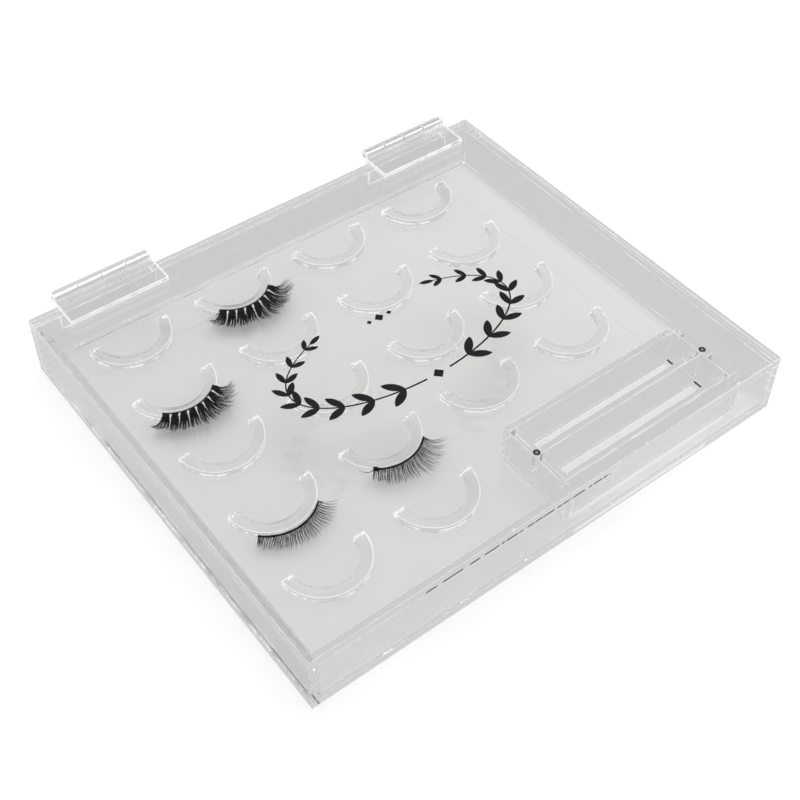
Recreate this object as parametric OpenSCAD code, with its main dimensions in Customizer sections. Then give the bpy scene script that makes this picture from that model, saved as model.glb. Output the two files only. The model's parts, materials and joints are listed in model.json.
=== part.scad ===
// Clear acrylic case for strip false eyelashes, with a hinged lid.
// X runs along the hinge edge, +Y points to the hinges, +Z is up.
// The origin is the middle of the underside of the case.

/* [Case] */
// Width of the case, along the hinge edge
case_w = 230; // [210:1:300]
// Depth of the case, from front face to back face
case_d = 201; // [190:1:280]
// Thickness of the base sheet
base_t = 4; // [2:0.5:6]
// Thickness of the wall sheet
wall_t = 4; // [2:0.5:5]
// Height of the walls, standing on the base
wall_h = 21; // [19:0.5:45]
// Break on every edge of the cut sheet
edge_break = 0.3; // [0.1:0.05:0.5]
// Film of cement between pieces that are joined
cement_t = 0.05; // [0.02:0.01:0.1]

/* [Lid] */
// Thickness of the lid sheet
lid_t = 4; // [2:0.5:6]
// Gap under the closed lid
lid_seat_gap = 0.15; // [0.05:0.05:0.4]
// Gap between the lid's back edge and the fixed hinge leaves
lid_back_gap = 0.35; // [0.3:0.05:1]

/* [Hinges] */
// Length of each hinge
hinge_len = 45; // [30:1:60]
// Distance from the side of the case to a hinge's middle
hinge_inset = 35.5; // [31:0.5:60]
// Reach of each leaf from the hinge axis
leaf_reach = 16.5; // [12:0.5:18]
// Thickness of the leaves
leaf_t = 2; // [1.5:0.1:2.4]
// Radius of the hinge barrel
barrel_r = 2.5; // [2.2:0.1:3.5]
// Number of knuckles in the barrel
knuckles = 4; // [3:1:7]
// Gap between neighbouring knuckles
knuckle_gap = 0.3; // [0.2:0.05:0.6]
// Gap between a leaf and the other leaf's knuckles
swing_gap = 0.35; // [0.3:0.05:0.8]
// How far the barrel stands clear of the leaf's flat side
barrel_seat = 0.05; // [0.02:0.01:0.1]
// Radius of the hinge pin
pin_r = 1; // [0.6:0.1:1.5]
// Radial gap round the pin in the fixed knuckles
pin_fit = 0.02; // [0.01:0.01:0.05]
// Radial gap round the pin in the lid's knuckles
pin_run = 0.06; // [0.04:0.01:0.1]

/* [Lash holders] */
// Outer radius of a holder
holder_r = 18.5; // [14:0.5:20]
// Width of a holder's band
holder_w = 4.75; // [3:0.25:6]
// Height of a holder
holder_h = 3; // [2:0.5:5]
// Distance between neighbouring rows
row_pitch = 36.1; // [30:0.5:38]
// Gap between the left wall and the first column
grid_left = 13.9; // [6:0.1:20]
// Gap between the last column and the right wall
grid_right = 18.1; // [6:0.1:24]
// Gap between the back wall and the back row's squared ends
grid_back = 7.8; // [4:0.1:14]
// Number of columns
columns = 4; // [2:1:4]
// Number of rows that fill every column
full_rows = 4; // [1:1:4]
// Number of holders in the short row at the front
short_row = 2; // [1:1:2]

/* [Compartment] */
// Length of the compartment
tray_len = 94; // [70:1:100]
// Width of the compartment, front to back
tray_w = 34.4; // [26:0.2:36]
// Height of the compartment's walls
tray_h = 18; // [10:0.5:18.5]
// Thickness of the compartment's long walls and divider
tray_t = 3; // [2:0.5:4]
// Thickness of the compartment's end walls
tray_end_t = 4; // [4:0.5:6]
// Gap between the compartment and the right wall
tray_side_gap = 11.8; // [6:0.2:20]
// Gap between the compartment and the front wall
tray_front_gap = 4.3; // [2:0.1:10]

/* [Magnets] */
// Diameter of a magnet
magnet_d = 3; // [2:0.1:3.2]
// Length of a magnet
magnet_len = 6; // [3:0.5:8]
// Radial gap round a magnet
magnet_fit = 0.05; // [0.02:0.01:0.1]

/* [Lashes] */
// Number of hairs on each lash
hairs = 84; // [60:1:120]
// Radial gap between a lash band and its holder
band_gap = 0.2; // [0.1:0.05:0.4]
// Radial width of a lash band
band_w = 0.7; // [0.5:0.1:1]
// Height of a lash band
band_h = 0.5; // [0.4:0.1:0.8]
// How far a band's top lies under the holder's top
band_drop = 0.2; // [0.1:0.1:1]
// Length of the longest hairs
hair_len = 12.5; // [9:0.1:13]
// How far the hairs sink on their way, as a share of the band's height over the base
hair_sink = 0.7; // [0:0.05:0.8]
// How far a hair's tip curls up, as a share of its length
curl = 0.12; // [0:0.02:0.5]
// Lean of the middle hairs to the left, in degrees
hair_slant = 18; // [0:1:20]

/* [Hidden] */
eps = 0.01;
inside_w = case_w - 2*wall_t;
inside_d = case_d - 2*wall_t;
floor_z = base_t + cement_t;
wall_top = floor_z + wall_h;
lid_z = wall_top + lid_seat_gap;
lid_top = lid_z + lid_t;
back_y = case_d/2;
barrel_out = barrel_r + barrel_seat;
axis_y = back_y + cement_t + barrel_out;
axis_z = lid_top + cement_t + barrel_out;
hinge_x = case_w/2 - hinge_inset;
knuckle_pitch = hinge_len/knuckles;
column_pitch = (inside_w - grid_left - grid_right - 2*holder_r)/(columns - 1);
tray_x1 = inside_w/2 - tray_side_gap;
tray_x0 = tray_x1 - tray_len;
tray_y0 = -inside_d/2 + tray_front_gap;
tray_top = floor_z + tray_h;
magnet_z = tray_top - magnet_len;
sides = ["left", "right"];

// Lashes: row, column, half the band's angle, share of the full hair length, turn on the holder,
// hairs in a tuft, sway, length of the left hairs as a share of the right ones
LASHES = [
    [1, 2, 42, 1, -5, 12, 0.9, 0.8],
    [2, 1, 43, 0.9, -4, 12, 0.8, 0.8],
    [4, 1, 46, 0.76, 0, 0, 0.5, 0.68],
    [4, 2, 43, 0.92, 0, 0, 0.6, 0.58]
];
hair_steps = [0, 0.3, 0.68, 1];
hair_scale = [1, 0.5, 0.34, 0];

HOLDERS = [
    for (r = [1 : full_rows + 1], c = [1 : r <= full_rows ? columns : short_row]) [r, c]
];

function holder_name(h) = str("holder_r", h[0], "c", h[1]);
function column_x(c) = -inside_w/2 + grid_left + holder_r + (c - 1)*column_pitch;
function row_y(r) = inside_d/2 - grid_back - (r - 1)*row_pitch;
function side_sign(s) = s == "left" ? -1 : 1;

// A rectangle of w by d with its corners cut by c
function cut_corners(w, d, c) =
    [[c, 0], [w - c, 0], [w, c], [w, d - c], [w - c, d], [c, d], [0, d - c], [0, c]];

// A cut and polished sheet with its lowest corner at the origin
module sheet(size) {
    c = edge_break;
    intersection() {
        linear_extrude(size.z) polygon(cut_corners(size.x, size.y, c));
        rotate([90, 0, 90]) linear_extrude(size.x) polygon(cut_corners(size.y, size.z, c));
        translate([0, size.y, 0]) rotate([90, 0, 0])
            linear_extrude(size.y) polygon(cut_corners(size.x, size.z, c));
    }
}

module base_plate() {
    color("whitesmoke") translate([-case_w/2, -case_d/2, 0]) sheet([case_w, case_d, base_t]);
}

module back_wall() {
    color("gainsboro") translate([-case_w/2, back_y - wall_t, floor_z])
        sheet([case_w, wall_t, wall_h]);
}

module front_wall() {
    color("gainsboro") translate([-inside_w/2 + cement_t, -case_d/2, floor_z])
        sheet([inside_w - 2*cement_t, wall_t, wall_h]);
}

module side_wall(sign) {
    x = sign < 0 ? -case_w/2 : case_w/2 - wall_t;
    color("gainsboro") translate([x, -case_d/2, floor_z])
        sheet([wall_t, case_d - wall_t - cement_t, wall_h]);
}

module lid_panel() {
    color("whitesmoke") translate([-case_w/2, -case_d/2, lid_z])
        sheet([case_w, case_d - lid_back_gap, lid_t]);
}

// Knuckles of one leaf, along X from the hinge's left end: first is 0 or 1, then every second one
module knuckle_row(first) {
    for (k = [first : 2 : knuckles - 1]) {
        x0 = k*knuckle_pitch + (k > 0 ? knuckle_gap/2 : 0);
        x1 = (k + 1)*knuckle_pitch - (k < knuckles - 1 ? knuckle_gap/2 : 0);
        translate([x0, 0, 0]) rotate([90, 0, 90]) cylinder(h = x1 - x0, r = barrel_r, $fn = 64);
        // Web from the leaf to the barrel
        translate([x0, -leaf_reach/2, -barrel_out]) cube([x1 - x0, leaf_reach/2, leaf_t]);
    }
}

// One leaf lying on the plane z = -barrel_out and reaching to -Y, with the hinge axis along X
module leaf(first, bore_gap) {
    difference() {
        union() {
            translate([0, -leaf_reach, -barrel_out])
                cube([hinge_len, leaf_reach - barrel_r - swing_gap, leaf_t]);
            knuckle_row(first);
        }
        translate([-eps, 0, 0]) rotate([90, 0, 90])
            cylinder(h = hinge_len + 2*eps, r = pin_r + bore_gap, $fn = 48);
    }
}

module at_hinge(side) {
    translate([side_sign(side)*hinge_x - hinge_len/2, axis_y, axis_z]) children();
}

module lid_leaf(side) {
    color("aliceblue") at_hinge(side) leaf(0, pin_run);
}

// The fixed leaf hangs down the back wall, so it is the same leaf tipped on end
module case_leaf(side) {
    color("lightsteelblue") at_hinge(side)
        rotate([90, 0, 0]) mirror([0, 0, 1]) leaf(1, pin_fit);
}

module hinge_pin(side) {
    color("silver") at_hinge(side) rotate([90, 0, 90]) cylinder(h = hinge_len, r = pin_r, $fn = 48);
}

// A half ring that opens to the hinges and bulges to the front
module lash_holder(h) {
    color("azure") translate([column_x(h[1]), row_y(h[0]), floor_z]) difference() {
        cylinder(h = holder_h, r = holder_r, $fn = 120);
        translate([0, 0, -eps]) cylinder(h = holder_h + 2*eps, r = holder_r - holder_w, $fn = 120);
        translate([-holder_r - eps, 0, -eps])
            cube([2*(holder_r + eps), holder_r + eps, holder_h + 2*eps]);
    }
}

module tray_long_wall(y) {
    color("lavender") translate([tray_x0 + tray_end_t + cement_t, y, floor_z])
        sheet([tray_len - 2*(tray_end_t + cement_t), tray_t, tray_h]);
}

module tray_end(side) {
    x = side == "left" ? tray_x0 : tray_x1 - tray_end_t;
    color("lavender") difference() {
        translate([x, tray_y0, floor_z]) sheet([tray_end_t, tray_w, tray_h]);
        translate([x + tray_end_t/2, tray_y0 + tray_w/2, magnet_z])
            cylinder(h = magnet_len + 1, r = magnet_d/2 + magnet_fit, $fn = 48);
    }
}

module magnet(side) {
    x = side == "left" ? tray_x0 + tray_end_t/2 : tray_x1 - tray_end_t/2;
    color("dimgray") translate([x, tray_y0 + tray_w/2, magnet_z])
        cylinder(h = magnet_len, d = magnet_d, $fn = 48);
}

// Strip lash as one closed mesh. A band of small steps bends round the holder, and each
// step's outer face is two triangles: one stays, and a three-sided hair grows from the other.

// Point on a circle of radius r about the holder's middle, at angle a from the front
function bow(r, a, z) = [r*sin(a), -r*cos(a), z];

// Even pseudo-random value from -1 to 1 for hair i
function vary(i, seed) = sin(i*137.508 + seed*61);

// Hair i leans this far, in degrees, from the radial direction at its root
function hair_lean(i, n, tuft, sway) =
    let (slant = -hair_slant*sin(180*(i + 0.5)/n))
    tuft > 0
        ? let (place = (i % tuft)/(tuft - 1) - 0.5) slant - place*15 + sway*vary(i, 3)
        : slant + sway*vary(i, 3)*2;

// Length of hair i: shorter towards the left, with tufts that come to a point
function hair_length(i, n, tuft, full, left) =
    let (u = (i + 0.5)/n, edge = (left + (1 - left)*min(1, 1.5*u))*(1 - 0.2*pow(abs(2*u - 1), 4)))
    let (point = tuft > 0 ? 1 - 0.3*pow(abs(2*(i % tuft)/(tuft - 1) - 1), 2) : 0.93 + 0.07*vary(i, 1))
    full*edge*point;

// Ring k of the hair that grows from root triangle tri, whose middle is mid and angle is a
function hair_ring(tri, mid, a, lean, reach, k) =
    let (s = hair_steps[k], f = hair_scale[k])
    let (out = reach*s, dir = a + lean, sink = hair_sink*(mid.z - floor_z)*4*s*(1 - s))
    let (tip = mid + [out*sin(dir), -out*cos(dir), curl*s*s*reach - sink])
    f > 0 ? [for (p = tri) tip + f*(p - mid)] : [tip];

module lash(row) {
    n = hairs;
    half = row[2];
    r_in = holder_r + band_gap;
    r_out = r_in + band_w;
    z1 = floor_z + holder_h - band_drop;
    z0 = z1 - band_h;
    step = 2*half/n;
    // Band corners at station i: inner low, outer low, outer high, inner high
    band = [
        for (i = [0 : n]) let (a = -half + i*step)
            each [bow(r_in, a, z0), bow(r_out, a, z0), bow(r_out, a, z1), bow(r_in, a, z1)]
    ];
    hair_rings = len(hair_steps) - 1;
    per_hair = (hair_rings - 1)*3 + 1;
    hair_pts = [
        for (i = [0 : n - 1])
            let (tri = [band[4*i + 1], band[4*i + 5], band[4*i + 2]])
            let (mid = (tri[0] + tri[1] + tri[2])/3, a = -half + (i + 0.5)*step)
            let (lean = hair_lean(i, n, row[5], row[6]))
            let (reach = hair_length(i, n, row[5], row[3]*hair_len, row[7]))
            for (k = [1 : hair_rings]) each hair_ring(tri, mid, a, lean, reach, k)
    ];
    first = 4*(n + 1);
    band_faces = [
        for (i = [0 : n - 1]) let (b = 4*i, c = 4*i + 4)
            each [
                [b, c, b + 1], [c, c + 1, b + 1],
                [b + 2, c + 2, b + 3], [c + 2, c + 3, b + 3],
                [b + 3, c + 3, b], [c + 3, c, b],
                [c + 1, c + 2, b + 2]
            ]
    ];
    ends = [[0, 1, 2], [0, 2, 3], [4*n, 4*n + 2, 4*n + 1], [4*n, 4*n + 3, 4*n + 2]];
    hair_faces = [
        for (i = [0 : n - 1])
            let (root = [4*i + 1, 4*i + 5, 4*i + 2], f = first + i*per_hair)
            let (rings = [
                for (k = [0 : hair_rings - 1])
                    k == 0 ? root : [for (j = [0 : 2]) f + 3*(k - 1) + j]
            ])
            let (tip = f + per_hair - 1)
            each concat(
                [
                    for (k = [0 : hair_rings - 2], j = [0 : 2]) let (m = (j + 1) % 3)
                        each [
                            [rings[k][j], rings[k][m], rings[k + 1][j]],
                            [rings[k][m], rings[k + 1][m], rings[k + 1][j]]
                        ]
                ],
                [
                    for (j = [0 : 2])
                        [rings[hair_rings - 1][j], rings[hair_rings - 1][(j + 1) % 3], tip]
                ]
            )
    ];
    color("black") translate([column_x(row[1]), row_y(row[0]), 0]) rotate([0, 0, row[4]])
        polyhedron(concat(band, hair_pts), concat(band_faces, ends, hair_faces));
}

base_plate();
back_wall();
front_wall();
side_wall(-1);  // left_wall
side_wall(1);  // right_wall
lid_panel();
for (s = sides) {
    lid_leaf(s);
    case_leaf(s);
    hinge_pin(s);
    magnet(s);
}
for (h = HOLDERS) lash_holder(h);
tray_long_wall(tray_y0 + tray_w - tray_t);  // tray_back_wall
tray_long_wall(tray_y0);  // tray_front_wall
tray_long_wall(tray_y0 + (tray_w - tray_t)/2);  // tray_divider
tray_end("left");  // tray_left_end
tray_end("right");  // tray_right_end
for (i = [1 : len(LASHES)]) lash(LASHES[i - 1]);
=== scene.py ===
"""Clear acrylic case for strip lashes: finishes, fibres, lid ornament and studio.

The file is laid out as an add-on and is run as a script. Lengths are in metres, apart from the
lists whose comments give them in millimetres.
"""

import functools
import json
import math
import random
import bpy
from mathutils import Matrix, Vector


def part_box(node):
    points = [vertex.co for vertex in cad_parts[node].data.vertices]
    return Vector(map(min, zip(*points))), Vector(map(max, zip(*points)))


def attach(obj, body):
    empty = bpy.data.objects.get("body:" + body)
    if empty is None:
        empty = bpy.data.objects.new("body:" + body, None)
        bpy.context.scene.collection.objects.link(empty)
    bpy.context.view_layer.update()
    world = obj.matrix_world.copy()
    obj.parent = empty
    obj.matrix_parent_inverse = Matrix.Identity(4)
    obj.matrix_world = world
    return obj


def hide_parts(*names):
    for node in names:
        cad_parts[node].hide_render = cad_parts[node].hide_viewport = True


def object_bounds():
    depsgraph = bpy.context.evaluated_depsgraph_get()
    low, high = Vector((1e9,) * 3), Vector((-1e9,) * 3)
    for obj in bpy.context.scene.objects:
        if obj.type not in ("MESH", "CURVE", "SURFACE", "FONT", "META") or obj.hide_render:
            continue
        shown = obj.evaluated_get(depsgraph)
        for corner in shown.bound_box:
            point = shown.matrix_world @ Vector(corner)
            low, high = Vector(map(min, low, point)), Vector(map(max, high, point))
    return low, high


bl_info = {
    "name": "Clear Lash Case",
    "version": (1, 0, 0),
    "blender": (4, 5, 0),
    "location": "View3D > Sidebar > Lash Case",
    "description": "Finishes a clear hinged case with strip lashes on half-ring holders",
    "category": "Object",
}

import bmesh
import bpy
from bpy.props import FloatProperty, FloatVectorProperty, IntProperty, PointerProperty
from mathutils import Matrix, Vector

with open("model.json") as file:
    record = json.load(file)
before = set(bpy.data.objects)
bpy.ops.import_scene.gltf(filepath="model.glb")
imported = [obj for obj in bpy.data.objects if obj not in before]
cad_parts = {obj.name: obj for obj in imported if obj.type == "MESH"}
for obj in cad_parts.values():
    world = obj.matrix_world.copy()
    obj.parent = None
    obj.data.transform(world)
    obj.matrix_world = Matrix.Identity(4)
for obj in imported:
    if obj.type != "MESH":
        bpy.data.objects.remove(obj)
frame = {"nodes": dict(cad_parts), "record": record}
CAD_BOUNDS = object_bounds()
NODES = frame["nodes"]
BODIES = frame["record"]["behaviour"]["bodies"]

MM = 0.001
WHITE = (1, 1, 1, 1)
SEEN = ("Is Camera Ray", "Is Glossy Ray", "Is Transmission Ray")  # rays that show a surface

# Pieces by kind


def pieces_with(text):
    return [name for name in NODES if text in name]


HOLDERS = pieces_with("holder_")
TRAY = pieces_with("tray_")
LEAVES = pieces_with("_leaf_")
PINS = pieces_with("hinge_pin_")
MAGNETS = pieces_with("magnet_")
WALLS = ["back_wall", "front_wall", "left_wall", "right_wall"]
UNCEMENTED = ("lash_", "magnet_", "hinge_pin_")  # how the names of pieces without cement begin

# Clear sheet

# Painted shade: the share of the colour that passes a face of these pieces, where it isn't all.
SHADE_TINT = {"left_wall": 0.915, "front_wall": 0.965, **{name: 0.95 for name in LEAVES}}
# How strongly the painted highlight shows along a sheet's edges, where that isn't in full.
EDGE_HIGHLIGHT = {"base_plate": 0.15, "left_wall": 0.25, "front_wall": 0.25, "lid_panel": 0.45}
# Noise level from which a bubble at the foot of these walls gets a painted highlight.
FOOT_BUBBLE_HIGHLIGHT = {"left_wall": 0.56, "front_wall": 0.64}
EDGE_HIGHLIGHT_WIDTH = 0.24 * MM  # width of the painted highlight along a sheet's edge
LEAF_SKIN = 0.15 * MM  # depth in which a point counts as on a hinge leaf's edge
FOOT_HEIGHT = 1.5 * MM  # height of the painted bubble marks at the foot of a wall
STRIP_TURNS = 3.5  # the painted dark strips show to rays that have turned fewer times than this
SHEET_TURNS = 4.5  # rays that have turned more times see a painted even glow in the sheet
CARD_TURNS = 5.5  # the studio's dark card shows to rays that have turned fewer times

# Cement

FILM = 0.08 * MM  # half the depth in which a face counts as cemented
BREAK = 0.3 * MM  # the sheets' broken edges stay out of a joint
TOUCH = 0.1 * MM  # two boxes closer than this touch
LEAST_JOINT = 1 * MM  # a joint is wider than this
SKIN = 0.05 * MM  # depth in which a point counts as on a face
RAGGED = 1.2 * MM  # how ragged the edges of dry cement are
RING_WIDTH = 4.75 * MM  # width of a half ring
ROWS, COLUMNS = 4, 4  # full rows of holders, and their columns
LAST_COLUMNS = 2  # columns in the row in front of the full ones
# The dry joint under the compartment's right end, in millimetres: its strips from and to along Y,
# those with painted shade, its two sides along X, and how far the painted shade reaches from the
# end's left.
DRY_STRIPS = [(-63.9, -58.8), (-81.4, -74.6), (-86.3, -84.9)]
DARK_STRIPS = [(-65.4, -56.5), (-82.6, -73.4)]
DRY_SIDES = (96.2, 98.1)
DARK_REACH = 3.2
# The painted dark reflection under the lid's front edge, a broken line: its two ends along X, in
# millimetres.
LID_LINE = (-66, 21)

# Lashes

# Angles are in degrees from the front of the holder, lengths in millimetres.
# half: half the band's angle. turn: angle of the band's middle. reach: length of a long hair.
# inset: how far the band lies inside the holder's outer edge, or outside it where negative.
# drop: how far the band's middle lies under the holder's top, or over it where negative.
# left: share of the reach at the left end. lift: how far tips rise, as a share of the length.
# lump: share of the thickness that the band has at its left end, where that isn't 1.
# strays: place on the band, direction, length and share of the thickness of single hairs.
LASHES = [
    {
        "node": "lash_1", "holder": "holder_r1c2",
        "half": 49, "turn": 2, "reach": 14.6, "inset": 1.5, "drop": -0.25,
        "tufts": 8, "hairs": 480, "left": 0.8, "lift": 0.20,
        "strays": [
            (-49, -80, 8.5, 1.3), (-48.5, -72, 9.5, 1.2), (-48, -64, 10, 1.5), (-47, -57, 9, 1.4),
        ],
    },
    {
        "node": "lash_2", "holder": "holder_r2c1",
        "half": 46, "turn": 3, "reach": 13.6, "inset": 1.4, "drop": -0.25,
        "tufts": 8, "hairs": 460, "left": 0.82, "lift": 0.16,
        "strays": [(-45, -62, 9.0, 1.7), (-44.6, -60, 9, 1.5), (-44.3, -58, 7.5, 1.2)],
    },
    {
        "node": "lash_3", "holder": "holder_r4c1",
        "half": 46, "turn": 0, "reach": 9.6, "inset": -0.55, "drop": 1.6,
        "tufts": 0, "hairs": 140, "left": 0.68, "lift": 0.20,
        "strays": [(45.5, 58, 9, 1.2)],
    },
    {
        "node": "lash_4", "holder": "holder_r4c2",
        "half": 43, "turn": 3, "reach": 12.0, "inset": -0.45, "drop": 0.0,
        "tufts": 0, "hairs": 130, "left": 0.58, "lift": 0.16, "lump": 2.1,
        "strays": [(-41, -118, 6.0, 2.0), (40.5, 52, 10, 1.2)],
    },
]
SPIKES = 4  # points that a tuft's hairs end in
GROUPS = 34  # small groups that an even row's hairs lean into
SLANT = -18  # degrees that the hairs of the middle lean, before their share of it
SAG = 0.72  # share of the room under the band that the hairs hang into
BASE_TOP = 4.05 * MM  # height that the hairs stay over
HAIR_STEPS, STRAY_STEPS, BAND_STEPS = 9, 8, 80

# Ornament

LEAF_SIZE = (10.5 * MM, 3.9 * MM)  # length and width of a leaf at the foot of a spray
TIP_LEAF_SIZE = (6.5 * MM, 2.2 * MM)
LEAF_SHRINK = 0.45  # share of its size that a leaf has lost at the tip
LEAF_START = 0.7  # place of the first pair of leaves, in steps between pairs
LEAF_TURN = 38  # degrees between a leaf and its stem
SPRAY_START = -84  # degrees round the wreath at which a spray begins
SPRAY_SWEEP = 138  # degrees that a spray runs through
# Diamonds: place across in millimetres, place up as a share of the height, size in millimetres.
DIAMONDS = [(0, -0.5, 2.6), (0, 0.32, 2.2), (-5, 0.32, 1.2), (5, 0.32, 1.2)]
STEM_RADIUS = 0.42 * MM
STEM_STEPS = 40
STEM_TAPER = 0.4  # share of its width that a stem has lost at the tip
STEM_FLATNESS = 0.06  # a stem's depth as a share of its width
INK_FILM = 0.03 * MM  # depth of the ink
INK_GAP = 0.01 * MM  # room between the lid and the ink

# Studio

SENSOR = 36  # width of the camera's picture, in millimetres
LAMP_SIZE = 1.0
SIDE_LAMP_SHARE = 0.35  # power of the side lamp, as a share of the top one's
FLOOR_HALF = 3.0  # half the floor's width
FLOOR_DROP = 0.3 * MM  # room between the case and the floor


def math_operator(operation, swapped=False):
    """A method of Value that adds a Math node."""

    def method(self, other):
        first, second = (other, self) if swapped else (self, other)
        return self.look.math(operation, first, second)

    return method


class Value:
    """A shader socket in an expression: each operator adds the Math node that works it out."""

    def __init__(self, look, socket):
        self.look = look
        self.socket = socket

    def out(self, name):
        """Another output of the same node."""
        return Value(self.look, self.socket.node.outputs[name])

    __add__ = math_operator("ADD")
    __radd__ = math_operator("ADD", swapped=True)
    __sub__ = math_operator("SUBTRACT")
    __rsub__ = math_operator("SUBTRACT", swapped=True)
    __mul__ = math_operator("MULTIPLY")
    __rmul__ = math_operator("MULTIPLY", swapped=True)
    __truediv__ = math_operator("DIVIDE")
    __mod__ = math_operator("FLOORED_MODULO")
    __gt__ = math_operator("GREATER_THAN")
    __lt__ = math_operator("LESS_THAN")
    either = math_operator("MAXIMUM")  # joins two masks


class Look:
    """A material, or the world, whose nodes are made from expressions."""

    def __init__(self, block):
        block.use_nodes = True
        self.block = block
        self.tree = block.node_tree
        self.tree.nodes.clear()

    def node(self, kind, settings=None, sockets=None, out=0):
        """Adds a shader node: its settings first, then the values or links of its sockets."""
        made = self.tree.nodes.new("ShaderNode" + kind)
        for name, value in (settings or {}).items():
            if name == "stops":
                self.set_stops(made.color_ramp, value)
            else:
                setattr(made, name, value)
        for key, value in (sockets or {}).items():
            if isinstance(value, Value):
                self.tree.links.new(value.socket, made.inputs[key])
            else:
                made.inputs[key].default_value = value
        return Value(self, made.outputs[out]) if made.outputs else None

    def set_stops(self, ramp, stops):
        """Gives a colour ramp its stops: position and grey, or position and colour."""
        while len(ramp.elements) > len(stops):
            ramp.elements.remove(ramp.elements[-1])
        while len(ramp.elements) < len(stops):
            ramp.elements.new(1.0)
        for element, (place, colour) in zip(ramp.elements, stops):
            element.position = place
            element.color = colour if isinstance(colour, tuple) else (colour, colour, colour, 1)

    def math(self, operation, first, second):
        return self.node("Math", {"operation": operation}, {0: first, 1: second})

    def vector(self, operation, first, second=None, out=0):
        sockets = {0: first} if second is None else {0: first, 1: second}
        return self.node("VectorMath", {"operation": operation}, sockets, out)

    def scaled(self, vector, factors):
        return self.vector("MULTIPLY", vector, factors)

    def length(self, vector):
        return self.vector("LENGTH", vector, out="Value")

    def axes(self, vector):
        """The X part of a vector. Its other outputs are "Y" and "Z"."""
        return self.node("SeparateXYZ", sockets={0: vector})

    def place(self):
        """Where a point of the piece is, in metres."""
        return self.node("TexCoord", out="Object")

    def noise(self, place, scale, detail=2.0, roughness=0.5):
        return self.node(
            "TexNoise",
            sockets={"Vector": place, "Scale": scale, "Detail": detail, "Roughness": roughness},
        )

    def ramp(self, value, stops):
        return self.node("ValToRGB", {"stops": stops}, {"Fac": value})

    def blend(self, share, first, second):
        """Two colours mixed. The numbers are those of the Mix node's colour sockets."""
        sockets = {0: share, 6: first, 7: second}
        return self.node("Mix", {"data_type": "RGBA"}, sockets, 2)

    def light_path(self, *outputs):
        """1 for rays of any of these kinds, or the number that one output gives."""
        path = self.node("LightPath")
        return any_of([path.out(name) for name in outputs])

    def bump(self, height, strength, distance):
        sockets = {"Strength": strength, "Distance": distance, "Height": height}
        return self.node("Bump", sockets=sockets)

    def principled(self, colour, roughness, more=None):
        """The main shader, with more of its sockets by their names."""
        sockets = {"Base Color": colour, "Roughness": roughness, **(more or {})}
        return self.node("BsdfPrincipled", sockets=sockets)

    def transparent(self, share):
        """Lets this share of the light straight through."""
        colour = (share, share, share, 1)
        return self.node("BsdfTransparent", sockets={"Color": colour})

    def emission(self, colour, strength=1.0):
        return self.node("Emission", sockets={"Color": colour, "Strength": strength})

    def background(self, colour, strength=1.0):
        return self.node("Background", sockets={"Color": colour, "Strength": strength})

    def mix(self, share, first, second):
        return self.node("MixShader", sockets={0: share, 1: first, 2: second})

    def finish(self, shader, kind="OutputMaterial"):
        self.node(kind, sockets={"Surface": shader})
        return self.block


def material(name):
    return Look(bpy.data.materials.new(name))


def opaque(colour, share=1.0):
    """A colour, or a darker or lighter share of it, with an alpha of 1."""
    return tuple(share * part for part in colour) + (1,)


def between(value, low, high):
    """1 where a value lies between two others."""
    return (value > low) * (value < high)


def any_of(masks):
    """1 where any of these masks is 1."""
    return functools.reduce(Value.either, masks)


def in_strips(value, strips):
    """1 where a value lies in one of the strips, given in millimetres."""
    return any_of([between(value, start * MM, end * MM) for start, end in strips])


def past_box(look, place, centre, half):
    """How far a place is past the sides of a box, on each axis, and negative inside."""
    away = look.vector("ABSOLUTE", look.vector("SUBTRACT", place, centre))
    return look.axes(look.vector("SUBTRACT", away, half))


def flat_box(low, high):
    """The middle of a box and half its size, as seen from above."""
    middle = Vector(((low[0] + high[0]) / 2, (low[1] + high[1]) / 2, 0))
    return middle, Vector(((high[0] - low[0]) / 2, (high[1] - low[1]) / 2, 1))


def inside_box(look, place, centre, half):
    """1 inside a box given by its centre and half its size."""
    over = past_box(look, place, centre, half)
    return over.either(over.out("Y")).either(over.out("Z")) < 0


def near_box_edges(look, place, low, high, width):
    """1 along the edges of a box: within a width of two of its sides at once."""
    inner = (high - low) / 2 - Vector((width, width, width))
    over = past_box(look, place, (low + high) / 2, inner)
    return ((over > 0) + (over.out("Y") > 0) + (over.out("Z") > 0)) > 1.5


def cemented_boxes(name):
    """Flat boxes in which a face of this piece is cemented to a neighbour on the same body."""
    body = next(members for members in BODIES.values() if name in members)
    low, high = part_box(name)
    found = []
    for other in body:
        if other == name or other.startswith(UNCEMENTED):
            continue
        if name == "base_plate" and other in HOLDERS:
            continue
        other_low, other_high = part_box(other)
        start = Vector([max(pair) for pair in zip(low, other_low)])
        end = Vector([min(pair) for pair in zip(high, other_high)])
        thin = [i for i in range(3) if abs(end[i] - start[i]) < TOUCH]
        wide = [i for i in range(3) if end[i] - start[i] > LEAST_JOINT]
        if len(thin) == 1 and len(wide) == 2:
            half = (end - start) / 2 - Vector((BREAK, BREAK, BREAK))
            half[thin[0]] = FILM
            found.append((other, (start + end) / 2, half))
    return found


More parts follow.
